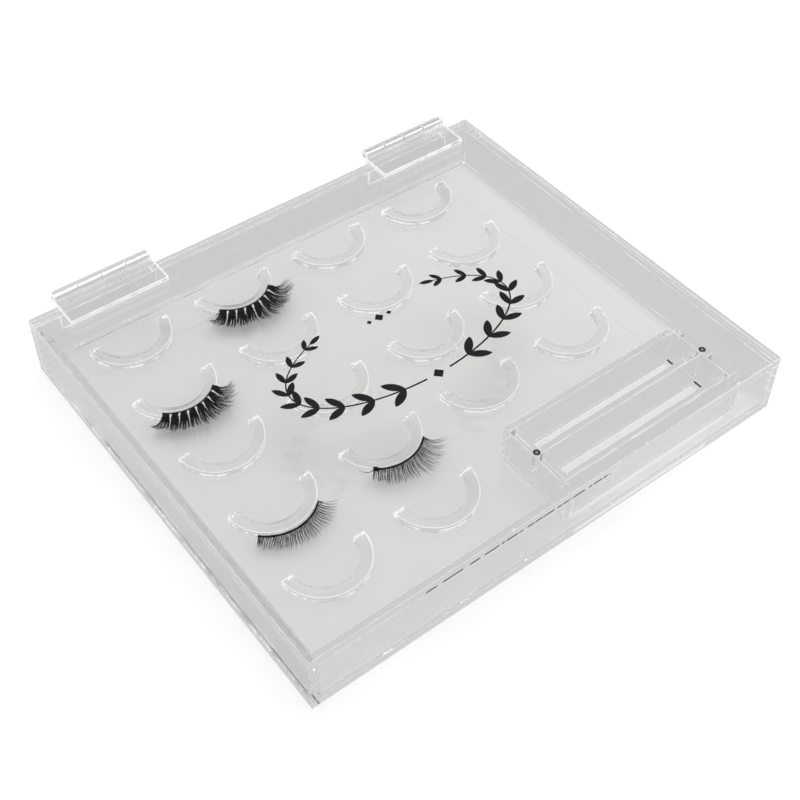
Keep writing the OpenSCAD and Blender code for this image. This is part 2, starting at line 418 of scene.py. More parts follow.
def under_holders(look, place):
    """1 on the base's top where the half rings are cemented, worked out from their grid."""
    first_low, first_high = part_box("holder_r1c1")
    next_low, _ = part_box("holder_r1c2")
    _, row_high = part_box("holder_r2c1")
    radius = (first_high.x - first_low.x) / 2
    column = next_low.x - first_low.x
    row = first_high.y - row_high.y
    axes = look.axes(place)
    across = axes - (first_low.x + radius)
    forward = first_high.y - axes.out("Y")
    in_column = ((across + column / 2) % column) - column / 2
    in_row = forward % row
    reach = look.length(look.node("CombineXYZ", sockets={0: in_column, 1: in_row}))
    ring = between(reach, radius - RING_WIDTH, radius)
    columns = between(across, -column / 2, (COLUMNS - 0.5) * column)
    last_row = (across < (LAST_COLUMNS - 0.5) * column) * (forward < (ROWS + 1) * row)
    rows = (forward > 0) * (forward < ROWS * row).either(last_row)
    top = axes.out("Z") > first_low.z - 2 * FILM
    return ring * columns * rows * top


def bubbles(look, place, scale, level, stretch=None, detail=2.0):
    """1 in the bubbles of a film of cement, of which a lower level gives more."""
    if stretch is not None:
        place = look.scaled(place, stretch)
    return look.noise(place, scale, detail, 0.6) > level


def ragged(look, place):
    """A small shift that makes the edges of dry cement ragged."""
    return (look.noise(place, 700, 1.0) - 0.5) * RAGGED


def gaps_in_cement(look, place, other, name):
    """1 where the cement of a joint has run dry or holds a bubble."""
    pair = {name, other}
    if pair == {"base_plate", "left_wall"}:
        return bubbles(look, place, 900, 0.56, (0.6, 0.16, 1), detail=3.0)
    if pair == {"base_plate", "tray_right_end"}:
        axes = look.axes(place)
        shift = ragged(look, place)
        left, right = DRY_SIDES
        strips = in_strips(axes.out("Y") + shift, DRY_STRIPS)
        return strips * between(axes + shift, left * MM, right * MM)
    if pair == {"base_plate", "tray_left_end"}:
        return bubbles(look, place, 1100, 0.64, (1, 0.4, 1))
    if "base_plate" in pair and pair.intersection(WALLS):
        return bubbles(look, place, 800, 0.68, (0.5, 0.5, 1))
    return bubbles(look, place, 900, 0.72)


def painted_foot_bubbles(look, place, name, stops):
    """Bubbles in the cement along the outer foot of the left or the front wall, as a mask for
    painted highlights or painted shade.
    """
    low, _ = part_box(name)
    axes = look.axes(place)
    outer = axes < low.x + BREAK if name == "left_wall" else axes.out("Y") < low.y + BREAK
    spots = look.noise(look.scaled(place, (0.7, 0.7, 1)), 330, 2.0, 0.6)
    return outer * (axes.out("Z") < low.z + FOOT_HEIGHT) * look.ramp(spots, stops)


def ring_painted_highlights(look, place, low, high):
    """Painted highlights on a half ring: the foot of its round side, its rim and its ends."""
    axes = look.axes(place)
    z = axes.out("Z")
    centre = Vector(((low.x + high.x) / 2, high.y, 0))
    radius = (high.x - low.x) / 2
    reach = look.length(look.scaled(look.vector("SUBTRACT", place, centre), (1, 1, 0)))
    side = (reach > radius - 0.2 * MM) * between(z, low.z + 0.35 * MM, low.z + 1.7 * MM)
    side = side * look.ramp(look.noise(place, 170, 1.0), [(0.42, 0.0), (0.56, 0.9)])
    rim = (reach > radius - 0.3 * MM) * (z > high.z - 0.25 * MM) * 0.6
    ends = axes.out("Y") > high.y - 0.1 * MM
    ends = ends * look.ramp(look.noise(place, 420, 1.0), [(0.40, 0.15), (0.52, 1.0)])
    return side.either(rim).either(ends)


def leaf_painted_highlights(look, place, low, high, on_lid):
    """Painted highlights on a hinge leaf: its two ends, and the front edge of the lid's leaf."""
    axes = look.axes(place)
    z = axes.out("Z")
    lit = (axes < low.x + LEAF_SKIN).either(axes > high.x - LEAF_SKIN) * 0.8
    if on_lid:
        front = axes.out("Y") < low.y + LEAF_SKIN
        borders = (z < low.z + 0.5 * MM).either(z > low.z + 1.6 * MM)
        lit = lit.either(front * (borders * 0.3 + 0.7))
    return lit * look.ramp(look.noise(place, 200, 1.0), [(0.35, 0.6), (0.55, 0.95)])


def sheet_painted_highlights(look, place, name, low, high):
    """Painted highlights on a sheet: its edges, and bubbles at the foot of two walls."""
    edges = near_box_edges(look, place, low, high, EDGE_HIGHLIGHT_WIDTH)
    edges = edges * look.ramp(look.noise(place, 110, 2.0), [(0.4, 0.2), (0.6, 0.75)])
    edges = edges * EDGE_HIGHLIGHT.get(name, 1.0)
    if name in FOOT_BUBBLE_HIGHLIGHT:
        level = FOOT_BUBBLE_HIGHLIGHT[name]
        spots = painted_foot_bubbles(look, place, name, [(level, 0.0), (level + 0.06, 1.0)])
        edges = edges.either(spots)
    return edges


def painted_highlights(look, place, name):
    """Where a piece gets painted highlights for the light that its polished edges catch."""
    low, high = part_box(name)
    if name in HOLDERS:
        return ring_painted_highlights(look, place, low, high)
    if name in LEAVES:
        return leaf_painted_highlights(look, place, low, high, name.startswith("lid_"))
    return sheet_painted_highlights(look, place, name, low, high)


def painted_dark_strips(look, place):
    """Painted shade on strips of the open joint under the compartment's right end."""
    low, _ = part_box("tray_right_end")
    axes = look.axes(place)
    strips = in_strips(axes.out("Y") + ragged(look, place), DARK_STRIPS)
    foot = (axes.out("Z") < low.z + SKIN) * between(axes, low.x + BREAK, low.x + DARK_REACH * MM)
    return strips * foot * (look.light_path("Ray Depth") < STRIP_TURNS)


def painted_dark_lid_line(look, place):
    """A painted dark reflection: the broken line under the lid's front edge."""
    low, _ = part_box("lid_panel")
    axes = look.axes(place)
    left, right = LID_LINE
    broken = look.noise(look.scaled(place, (1, 0, 0)), 260, 3.0, 0.6) > 0.47
    line = (axes.out("Y") < low.y + 1.2 * MM) * (axes.out("Z") < low.z + 1.1 * MM)
    return line * between(axes, left * MM, right * MM) * broken


def painted_dark_seams(look, place):
    """Painted shade along the seams that the left and the back wall leave on the base, faded in
    places.
    """
    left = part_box("left_wall")[1].x
    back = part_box("back_wall")[0].y
    axes = look.axes(place)
    y = axes.out("Y")
    faded = look.ramp(look.noise(place, 140, 2.0), [(0.35, 0.3), (0.6, 0.95)])
    top = axes.out("Z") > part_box("base_plate")[1].z - SKIN
    seam = between(axes, left - SKIN, left + 0.6 * MM) * (y < 45 * MM)
    seam = seam.either(between(y, back - 0.35 * MM, back) * 0.6)
    return seam * top * faded


def painted_dark_foot(look, place):
    """Painted shade on the bubbles at the foot of the left wall."""
    return painted_foot_bubbles(look, place, "left_wall", [(0.38, 0.6), (0.44, 0.0)])


# Painted dark marks: a near-black shader put where the clear sheet only shows shade or a dark
# reflection.
PAINTED_DARK_MARKS = {
    "tray_right_end": painted_dark_strips,
    "lid_panel": painted_dark_lid_line,
    "base_plate": painted_dark_seams,
    "left_wall": painted_dark_foot,
}


def clear_acrylic(name, settings):
    """Clear sheet: it refracts, has faint scratches and lets the lamps through.

    A cemented face is left out, because the two pieces are one there.
    """
    look = material("clear_acrylic_" + name)
    place = look.place()
    smudge = look.noise(place, 45, 3.0, 0.6)
    scratch = look.noise(look.scaled(place, (1, 6, 1)), 120, 2.0, 0.5)
    # The sheet's colour is darkened for some pieces: painted shade.
    sheet = look.principled(
        opaque(settings.acrylic_colour, SHADE_TINT.get(name, 1.0)),
        look.ramp(smudge, [(0.45, 0.0), (0.8, settings.smudge)]),
        {
            "IOR": settings.ior,
            "Transmission Weight": 1.0,
            "Normal": look.bump(scratch, 0.05, settings.scratch_depth),
        },
    )
    # Painted glow: rays that have turned many times inside the sheet see an even white emission.
    painted_glow = look.emission(WHITE, settings.painted_deep_glow)
    shader = look.mix(look.light_path("Ray Depth") > SHEET_TURNS, sheet, painted_glow)
    lit_through = look.light_path("Is Shadow Ray", "Is Diffuse Ray")
    shader = look.mix(lit_through, shader, look.transparent(settings.light_passed))
    # Painted highlights: a pale shader with a white glow, masked onto edges, rims and bubbles.
    painted_highlight_shader = look.principled(
        opaque(settings.highlight_colour),
        0.3,
        {"Emission Color": WHITE, "Emission Strength": settings.highlight_glow},
    )
    shader = look.mix(painted_highlights(look, place, name), shader, painted_highlight_shader)
    joints = []
    for other, centre, half in cemented_boxes(name):
        wet = 1 - gaps_in_cement(look, place, other, name)
        joints.append(inside_box(look, place, centre, half) * wet)
    if name == "base_plate":
        joints.append(under_holders(look, place) * (1 - bubbles(look, place, 900, 0.72)))
    if joints:
        shader = look.mix(any_of(joints), shader, look.transparent(1.0))
    # Painted shade: the near-black marks stand for shade and dark reflections in the clear sheet.
    if name in PAINTED_DARK_MARKS:
        painted_dark = look.principled((0.02, 0.02, 0.02, 1), 0.4)
        shader = look.mix(PAINTED_DARK_MARKS[name](look, place), shader, painted_dark)
    return look.finish(shader)


def pin_steel():
    """Drawn steel rod with fine lines along its length."""
    look = material("drawn_steel")
    lines = look.noise(look.scaled(look.place(), (0.02, 1, 1)), 9000, 2.0, 0.6)
    rod = look.principled(
        look.ramp(lines, [(0.3, (0.78, 0.78, 0.79, 1)), (0.7, (0.9, 0.9, 0.9, 1))]),
        look.ramp(lines, [(0.3, 0.24), (0.7, 0.38)]),
        {"Metallic": 1.0, "Normal": look.bump(lines, 0.2, 0.01 * MM)},
    )
    return look.finish(rod)


def magnet_nickel(name):
    """Nickel-plated disc magnet with a dark ring and a paler middle on its end."""
    low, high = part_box(name)
    look = material("nickel_" + name)
    place = look.place()
    flat = look.scaled(look.vector("SUBTRACT", place, (low + high) / 2), (1, 1, 0))
    reach = look.length(flat) / ((high.x - low.x) / 2)
    end = look.axes(place).out("Z") > high.z - 0.02 * MM
    grain = look.noise(place, 2500, 3.0, 0.6)
    ring = look.ramp(reach, [(0.30, 0.34), (0.42, 0.06), (0.85, 0.03), (1.0, 0.10)])
    side = look.ramp(grain, [(0.3, 0.7), (0.7, 0.9)])
    plate = look.principled(
        look.blend(end, side, ring),
        look.ramp(grain, [(0.3, 0.18), (0.7, 0.34)]),
        {"Metallic": 1.0},
    )
    return look.finish(plate)


def lash_fibre(settings):
    """Black synthetic fibre, nearly without gloss, with slightly different blacks."""
    look = material("black_fibre")
    tone = look.noise(look.place(), 2200, 2.0, 0.6)
    dark, light = opaque(settings.fibre_colour), opaque(settings.fibre_colour, 2.2)
    fibre = look.principled(
        look.ramp(tone, [(0.35, dark), (0.75, light)]),
        look.ramp(tone, [(0.3, 0.42), (0.7, 0.6)]),
        {"Specular IOR Level": 0.06},
    )
    return look.finish(fibre)


def printed_ink(settings):
    """Black screen ink with a soft gloss and a slightly uneven film."""
    look = material("black_ink")
    film = look.noise(look.place(), 1600, 3.0, 0.6)
    dark, light = opaque(settings.ink_colour), opaque(settings.ink_colour, 2.5)
    ink = look.principled(
        look.ramp(film, [(0.4, dark), (0.8, light)]),
        look.ramp(film, [(0.3, 0.45), (0.7, 0.6)]),
        {"Specular IOR Level": 0.2, "Normal": look.bump(film, 0.15, 0.01 * MM)},
    )
    return look.finish(ink)


def dress(names, made):
    """Gives CAD pieces a finish in their own slots."""
    for name in names:
        for slot in NODES[name].material_slots:
            slot.material = made(name)


def curve_piece(name, strands, thickness, rounding=0):
    """A mesh of thin tapered strands, each a list of (point, share of the thickness)."""
    curve = bpy.data.curves.new(name, "CURVE")
    curve.dimensions = "3D"
    curve.bevel_depth = thickness
    curve.bevel_resolution = rounding
    curve.use_fill_caps = True
    for strand in strands:
        spline = curve.splines.new("POLY")
        spline.points.add(len(strand) - 1)
        for knot, (point, share) in zip(spline.points, strand):
            knot.co = (point.x, point.y, point.z, 1)
            knot.radius = share
    holder = bpy.data.objects.new(name + "_curve", curve)
    bpy.context.scene.collection.objects.link(holder)
    depsgraph = bpy.context.evaluated_depsgraph_get()
    mesh = bpy.data.meshes.new_from_object(holder.evaluated_get(depsgraph))
    bpy.data.objects.remove(holder)
    mesh.name = name
    piece = bpy.data.objects.new(name, mesh)
    bpy.context.scene.collection.objects.link(piece)
    return piece


def join_mesh(piece, other):
    """Adds another piece's mesh to this one, with all faces outwards, and removes the other."""
    work = bmesh.new()
    work.from_mesh(piece.data)
    work.from_mesh(other.data)
    bmesh.ops.recalc_face_normals(work, faces=work.faces)
    work.to_mesh(piece.data)
    work.free()
    bpy.data.objects.remove(other)


def smooth(value):
    """Runs smoothly from 0 at 0 to 1 at 1, and stays there beyond."""
    value = min(max(value, 0.0), 1.0)
    return value * value * (3 - 2 * value)


def sway_between(stops, s):
    """A value that runs smoothly through (place, value) stops."""
    for (s0, v0), (s1, v1) in zip(stops, stops[1:]):
        if s <= s1:
            return v0 + (v1 - v0) * smooth((s - s0) / (s1 - s0))
    return stops[-1][1]


def round_point(centre, radius, angle, height):
    """A point at a radius and an angle, in radians from the front, round a holder's middle."""
    return centre + Vector((radius * math.sin(angle), -radius * math.cos(angle), height))


def hair(root, angles, reach, inset, sink, lift, thick):
    """One hair: it crosses the holder's edge, hangs low over the base and curls up at its tip.

    root is (middle of the holder, radius, height), and angles are stops of its polar angle.
    """
    centre, radius, height = root
    strand = []
    for k in range(HAIR_STEPS + 1):
        s = k / HAIR_STEPS
        angle = math.radians(sway_between(angles, s))
        out = radius + reach * s
        hang = max(0.0, (out - radius - inset) / (reach - inset))
        z = height - sink * 4 * hang * (1 - hang) + lift * reach * s**2.4
        strand.append((round_point(centre, out, angle, z), thick * (1 - 0.82 * s**1.8)))
    return strand


def stray_hair(root, place, heading, length, sink, lift, thick):
    """A single hair that leaves the band in a direction of its own."""
    centre, radius, height = root
    start = round_point(centre, radius, math.radians(place), height)
    end_heading = math.radians(heading)
    strand = []
    for k in range(STRAY_STEPS + 1):
        s = k / STRAY_STEPS
        bend = end_heading - 0.25 * (1 - s) * math.copysign(1, heading)
        z = -sink * 4 * s * (1 - s) + lift * length * s * s
        strand.append((round_point(start, length * s, bend, z), thick * (1 - 0.8 * s**1.8)))
    return strand


def tuft_hair(lash, u, slant, reach, spikes, rng):
    """The stops and the length of a hair that leans to one of its tuft's spikes."""
    half, turn, tufts = lash["half"], lash["turn"], lash["tufts"]
    pitch = 2 * half / tufts
    tuft = min(int(u * tufts), tufts - 1)
    q = 2 * (u * tufts - tuft) - 1  # place in the tuft, from -1 to 1
    base = turn - half + (tuft + 0.5) * pitch
    fan = -7 * smooth((0.14 - u) / 0.14) + 5 * smooth((u - 0.86) / 0.14)
    spike = int((q + 1) / 2 * SPIKES)
    lean, long = spikes[tuft * SPIKES + spike]
    tip = 2 * (spike + 0.5) / SPIKES - 1
    loose = rng.random() < 0.22
    own = q if loose else tip + 0.2 * (q - tip)
    stray = rng.gauss(0, 2.2 if loose else 0.5)
    middle = (0.5 * q + 0.5 * own) * 0.50 * pitch
    angles = [
        (0.0, base + q * 0.32 * pitch),
        (0.28, base + q * 0.44 * pitch + 0.12 * slant),
        (0.6, base + middle + 0.26 * slant + 0.4 * (fan + lean)),
        (1.0, base + own * 0.46 * pitch + 0.40 * slant + fan + lean + stray),
    ]
    return angles, reach * long * (1 - 0.10 * q * q) * rng.uniform(0.8, 1.02)


def row_hair(lash, u, slant, reach, rng):
    """The stops and the length of a hair that leans to the middle of its small group."""
    half, turn = lash["half"], lash["turn"]
    own = -half + 2 * half * u
    middle = -half + 2 * half * (round(u * GROUPS - 0.5) + 0.5) / GROUPS
    drift = rng.gauss(0, 0.5)
    angles = [
        (0.0, turn + own),
        (0.5, turn + own + 0.6 * (middle - own) + 0.22 * slant + drift),
        (1.0, turn + own + 0.7 * (middle - own) + 0.40 * slant + 2.2 * drift),
    ]
    return angles, reach * rng.uniform(0.78, 1.03)


def lash_hairs(lash, root, rng):
    """The hairs of a strip: in tufts with open roots, or in small groups of an even row."""
    count, tufts, left, turn = lash["hairs"], lash["tufts"], lash["left"], lash["turn"]
    sink_full = SAG * (root[2] - BASE_TOP)
    inset = max(0.0, lash["inset"] * MM)
    spikes = [(rng.gauss(0, 1.0), rng.uniform(0.84, 1.04)) for _ in range(max(tufts, 1) * SPIKES)]
    strands = []
    for i in range(count):
        u = (i + rng.uniform(0.05, 0.95)) / count
        slant = SLANT * math.sin(math.pi * u)
        share = left + (1 - left) * min(1, 1.5 * u)
        share *= 1 - 0.2 * abs(2 * u - 1) ** 4
        lift = lash["lift"] * (0.25 + 0.75 * u) * rng.uniform(0.6, 1.4)
        full = lash["reach"] * share
        if tufts:
            angles, reach = tuft_hair(lash, u, slant, full, spikes, rng)
        else:
            angles, reach = row_hair(lash, u, slant, full, rng)
        sink = sink_full * rng.uniform(0.75, 1.0)
        thick = rng.uniform(0.8, 1.15)
        strands.append(hair(root, angles, reach * MM, inset, sink, lift, thick))
    sink = 0.5 * sink_full
    for place, heading, length, thick in lash["strays"]:
        strands.append(
            stray_hair(root, turn + place, turn + heading, length * MM, sink, 0.1, thick)
        )
    return strands


def lash_band(lash, root):
    """The band, a little uneven, with a lump of glue at its left end and a thinner right end."""
    half, turn = lash["half"], lash["turn"]
    centre, radius, height = root
    band = []
    for k in range(BAND_STEPS + 1):
        t = k / BAND_STEPS
        angle = math.radians(turn - half + 2 * half * t)
        share = 1.0 + 0.07 * math.sin(31 * t + half) + 0.05 * math.sin(83 * t)
        share *= 1 + (lash.get("lump", 1) - 1) * smooth((0.08 - t) / 0.02)
        share *= 0.6 + 0.4 * smooth((1 - t) / 0.06)
        band.append((round_point(centre, radius, angle, height), share))
    return band


def make_lash(lash, settings):
    """A strip lash: its hairs, and the band that they hang from."""
    node = lash["node"]
    low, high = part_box(lash["holder"])
    centre = Vector(((low.x + high.x) / 2, high.y, 0))
    radius = (high.x - low.x) / 2 - lash["inset"] * MM
    root = (centre, radius, high.z - lash["drop"] * MM)
    hairs = lash_hairs(lash, root, random.Random(node))
    piece = curve_piece(node + "_fibres", hairs, settings.hair_thickness / 2)
    band = settings.band_fine if lash["tufts"] else settings.band_full
    join_mesh(piece, curve_piece(node + "_band", [lash_band(lash, root)], band / 2, 2))
    piece.data.shade_smooth()
    piece.data.materials.append(lash_fibre(settings))
    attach(piece, "case")
    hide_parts(node)


def leaf_mesh(length, width):
    """A flat pointed leaf along X from the origin, as a bmesh."""
    work = bmesh.new()
    bmesh.ops.create_circle(work, cap_ends=True, segments=20, radius=1)
    for vert in work.verts:
        x = vert.co.x
        across = vert.co.y * width / 2 * (1 - abs(x) ** 2.2) ** 0.35
        vert.co = Vector(((x + 1) / 2 * length, across, 0))
    bmesh.ops.remove_doubles(work, verts=work.verts, dist=0.02 * MM)
    return work


def add_flat(target, flat, matrix):
    """Adds a copy of a flat shape to a bmesh, moved by a matrix."""
    mesh = bpy.data.meshes.new("shape")
    flat.to_mesh(mesh)
    before = set(target.verts)
    target.from_mesh(mesh)
    added = [v for v in target.verts if v not in before]
    bmesh.ops.transform(target, matrix=matrix, verts=added)
    bpy.data.meshes.remove(mesh)


def add_leaves(target, size, point, ahead, turns):
    """Adds leaves that start at a point, turned by these degrees from the stem's direction."""
    flat = leaf_mesh(*size)
    for turn in turns:
        heading = math.atan2(ahead.y, ahead.x) + math.radians(turn)
        add_flat(target, flat, Matrix.Translation(point) @ Matrix.Rotation(heading, 4, "Z"))
    flat.free()


def spray_point(t, width, height, side):
    """A point and the direction on one spray of the wreath, from its foot (t=0) to its tip."""
    a = math.radians(SPRAY_START + t * SPRAY_SWEEP)
    point = Vector((side * width / 2 * math.cos(a), height / 2 * math.sin(a), 0))
    ahead = Vector((-side * width / 2 * math.sin(a), height / 2 * math.cos(a), 0)).normalized()
    return point, ahead


def wreath_mesh(settings):
    """The wreath's leaves and diamonds as a film of ink."""
    width, height, pairs = settings.wreath_width, settings.wreath_height, settings.leaf_pairs
    work = bmesh.new()
    for side in (-1, 1):
        for k in range(pairs):
            t = (k + LEAF_START) / pairs
            share = 1.0 - LEAF_SHRINK * t
            size = [share * part for part in LEAF_SIZE]
            add_leaves(work, size, *spray_point(t, width, height, side), (LEAF_TURN, -LEAF_TURN))
        add_leaves(work, TIP_LEAF_SIZE, *spray_point(1.0, width, height, side), (0,))
    for x, up, size in DIAMONDS:
        flat = bmesh.new()
        bmesh.ops.create_circle(flat, cap_ends=True, segments=4, radius=size * MM)
        add_flat(work, flat, Matrix.Translation((x * MM, up * height, 0)))
        flat.free()
    made = bmesh.ops.extrude_face_region(work, geom=work.faces[:])
    top = [part for part in made["geom"] if isinstance(part, bmesh.types.BMVert)]
    bmesh.ops.translate(work, vec=(0, 0, INK_FILM), verts=top)
    bmesh.ops.recalc_face_normals(work, faces=work.faces)
    mesh = bpy.data.meshes.new("lid_ornament")
    work.to_mesh(mesh)
    work.free()
    return mesh


def wreath_stems(settings):
    """The stems of the two sprays, flat and thinner towards their tips."""
    width, height = settings.wreath_width, settings.wreath_height
    places = [k / STEM_STEPS for k in range(STEM_STEPS + 1)]
    stems = [
        [(spray_point(t, width, height, side)[0], 1.0 - STEM_TAPER * t) for t in places]
        for side in (-1, 1)
    ]
    piece = curve_piece("lid_stems", stems, STEM_RADIUS)
    flatten = Matrix.Diagonal((1, 1, STEM_FLATNESS, 1))
    piece.data.transform(Matrix.Translation((0, 0, INK_FILM / 2)) @ flatten)
    return piece


def colour_property(name, description, default):
    return FloatVectorProperty(
        name=name, description=description, subtype="COLOR", size=3, min=0, max=1, default=default
    )


def length_property(name, description, default, low, high):
    """A length, whose default and limits are given in millimetres."""
    return FloatProperty(
        name=name, description=description, subtype="DISTANCE", unit="LENGTH", precision=6,
        default=default * MM, min=low * MM, max=high * MM,
    )


def share_property(name, description, default, high=1):
    """A share, or a strength that isn't below 0."""
    return FloatProperty(
        name=name, description=description, subtype="FACTOR", default=default, min=0, max=high
    )


def angle_property(name, description, degrees):
    return FloatProperty(
        name=name, description=description, subtype="ANGLE", unit="ROTATION",
        default=math.radians(degrees),
    )


class LashCaseSettings(bpy.types.PropertyGroup):
    """Sizes and colours of the clear case, its lashes and its ornament."""

    acrylic_colour: colour_property("Acrylic Colour", "The clear sheet", (0.99, 0.989, 0.983))
    # Colour and glow of the painted highlights on edges, rims and bubbles.
    highlight_colour: colour_property("Edge Colour", "Light on polished edges", (0.96, 0.97, 0.97))
    highlight_glow: share_property(
        "Edge Glow", "Light that the sheet guides out at a polished edge", 0.35, high=2
    )
    # Strength of the painted glow that deep rays see in place of the sheet.
    painted_deep_glow: share_property(
        "Guided Light", "Light that rays find after many turns inside the sheet", 0.66, high=2
    )
    ior: FloatProperty(
        name="Acrylic IOR", description="How strongly the acrylic bends light",
        default=1.49, min=1.3, max=1.7,
    )
    light_passed: share_property(
        "Light Passed", "Share of the lamps' light that one face lets through", 0.95
    )
    smudge: share_property("Smudges", "Roughness where it has been touched", 0.025, high=0.2)
    scratch_depth: length_property("Scratch Depth", "Depth of the fine scratches", 0.004, 0, 0.1)
    fibre_colour: colour_property("Fibre Colour", "Colour of the lashes", (0.004, 0.0038, 0.004))
    hair_thickness: length_property("Hair Thickness", "Thickness at the root", 0.19, 0.05, 0.3)
    band_fine: length_property("Fine Band", "Band of the tufted lashes", 0.55, 0.2, 1)
    band_full: length_property("Full Band", "Band of the even lashes", 0.85, 0.2, 1.5)
    wreath_width: length_property("Wreath Width", "Width of the ornament", 108, 40, 180)
    wreath_height: length_property("Wreath Height", "Height of the ornament", 48, 20, 120)
    leaf_pairs: IntProperty(
        name="Leaf Pairs", description="Pairs of leaves on each spray of the wreath",
        default=9, min=3, max=20,
    )
    ink_colour: colour_property("Ink Colour", "Colour of the print", (0.006, 0.006, 0.007))


class LashCaseStage(bpy.types.PropertyGroup):
    """Camera, lamps, floor and surroundings."""

    azimuth: angle_property("Azimuth", "Side that the camera stands on, 0 in front", -38.72)
    elevation: angle_property("Elevation", "Angle of the camera above the floor", 45.67)
    roll: angle_property("Roll", "Turn of the camera about its own axis", 1.14)
    distance: length_property("Distance", "From the camera to its target", 559.83, 100, 5000)
    target: FloatVectorProperty(
        name="Target", description="Point that the camera is aimed at",
        subtype="XYZ", unit="LENGTH", size=3, default=(11.07 * MM, 2.35 * MM, 14.55 * MM),
    )
    lens: FloatProperty(name="Lens", description="Focal length in millimetres", default=60.47)
    shift: FloatVectorProperty(
        name="Shift", description="Shift of the picture, as a share of its width",
        size=2, default=(-0.0238, -0.0644),
    )
    floor_colour: colour_property("Floor Colour", "Colour of the floor", (0.8, 0.8, 0.8))
    glow: share_property("Floor Glow", "White added to the floor that the camera sees", 0.24)
    glow_through: share_property("Glow Through", "White added to the floor in the case", 0.08)
    # Painted light: white added to the floor under the compartment, where the walls' shade falls.
    tray_painted_light: share_property("Compartment Glow", "White added under the compartment", 0.12)
    beside: share_property("Floor Beside", "Floor beside the case, seen through it", 0.54)
    sky: share_property("Sky", "Strength of the light from all round", 0.72, high=3)
    dark_card: share_property("Dark Card", "Brightness of the card that the lid mirrors", 0.08)
    lamps: FloatProperty(
        name="Lamps", description="Power of the soft lamp above", unit="POWER",
        default=7.0, min=0, max=100,
    )


def towards_camera(stage):
    """Direction from the target to the camera."""
    az, el = stage.azimuth, stage.elevation
    return Vector((math.sin(az) * math.cos(el), -math.cos(az) * math.cos(el), math.sin(el)))


class LASHCASE_OT_sheets(bpy.types.Operator):
    """Give the base, walls, lid, holders and compartment their clear sheet finish"""

    bl_idname = "lashcase.sheets"
    bl_label = "Clear Sheets"

    def execute(self, context):
        settings = context.scene.lash_case
        sheets = ["base_plate", "lid_panel"] + WALLS + TRAY + HOLDERS
        dress(sheets, lambda name: clear_acrylic(name, settings))
        return {"FINISHED"}


class LASHCASE_OT_hinges(bpy.types.Operator):
    """Give the hinge leaves clear acrylic and the pins drawn steel"""

    bl_idname = "lashcase.hinges"
    bl_label = "Hinges"

    def execute(self, context):
        settings = context.scene.lash_case
        dress(LEAVES, lambda name: clear_acrylic(name, settings))
        steel = pin_steel()
        dress(PINS, lambda name: steel)
        return {"FINISHED"}


class LASHCASE_OT_magnets(bpy.types.Operator):
    """Give the closing magnets their nickel plate"""

    bl_idname = "lashcase.magnets"
    bl_label = "Magnets"

    def execute(self, context):
        dress(MAGNETS, magnet_nickel)
        return {"FINISHED"}


class LASHCASE_OT_lashes(bpy.types.Operator):
    """Grow the strip lashes on their holders"""

    bl_idname = "lashcase.lashes"
    bl_label = "Strip Lashes"

    def execute(self, context):
        for lash in LASHES:
            make_lash(lash, context.scene.lash_case)
        return {"FINISHED"}


class LASHCASE_OT_ornament(bpy.types.Operator):
    """Print a wreath of two leaf sprays on the lid"""

    bl_idname = "lashcase.ornament"
    bl_label = "Lid Ornament"

    def execute(self, context):
        settings = context.scene.lash_case
        low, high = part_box("lid_panel")
        middle = Vector(((low.x + high.x) / 2, (low.y + high.y) / 2, high.z))
        piece = bpy.data.objects.new("lid_ornament", wreath_mesh(settings))
        context.scene.collection.objects.link(piece)
        join_mesh(piece, wreath_stems(settings))
        piece.data.transform(Matrix.Translation(middle + Vector((0, 0, INK_GAP))))
        piece.data.materials.append(printed_ink(settings))
        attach(piece, "lid")
        return {"FINISHED"}


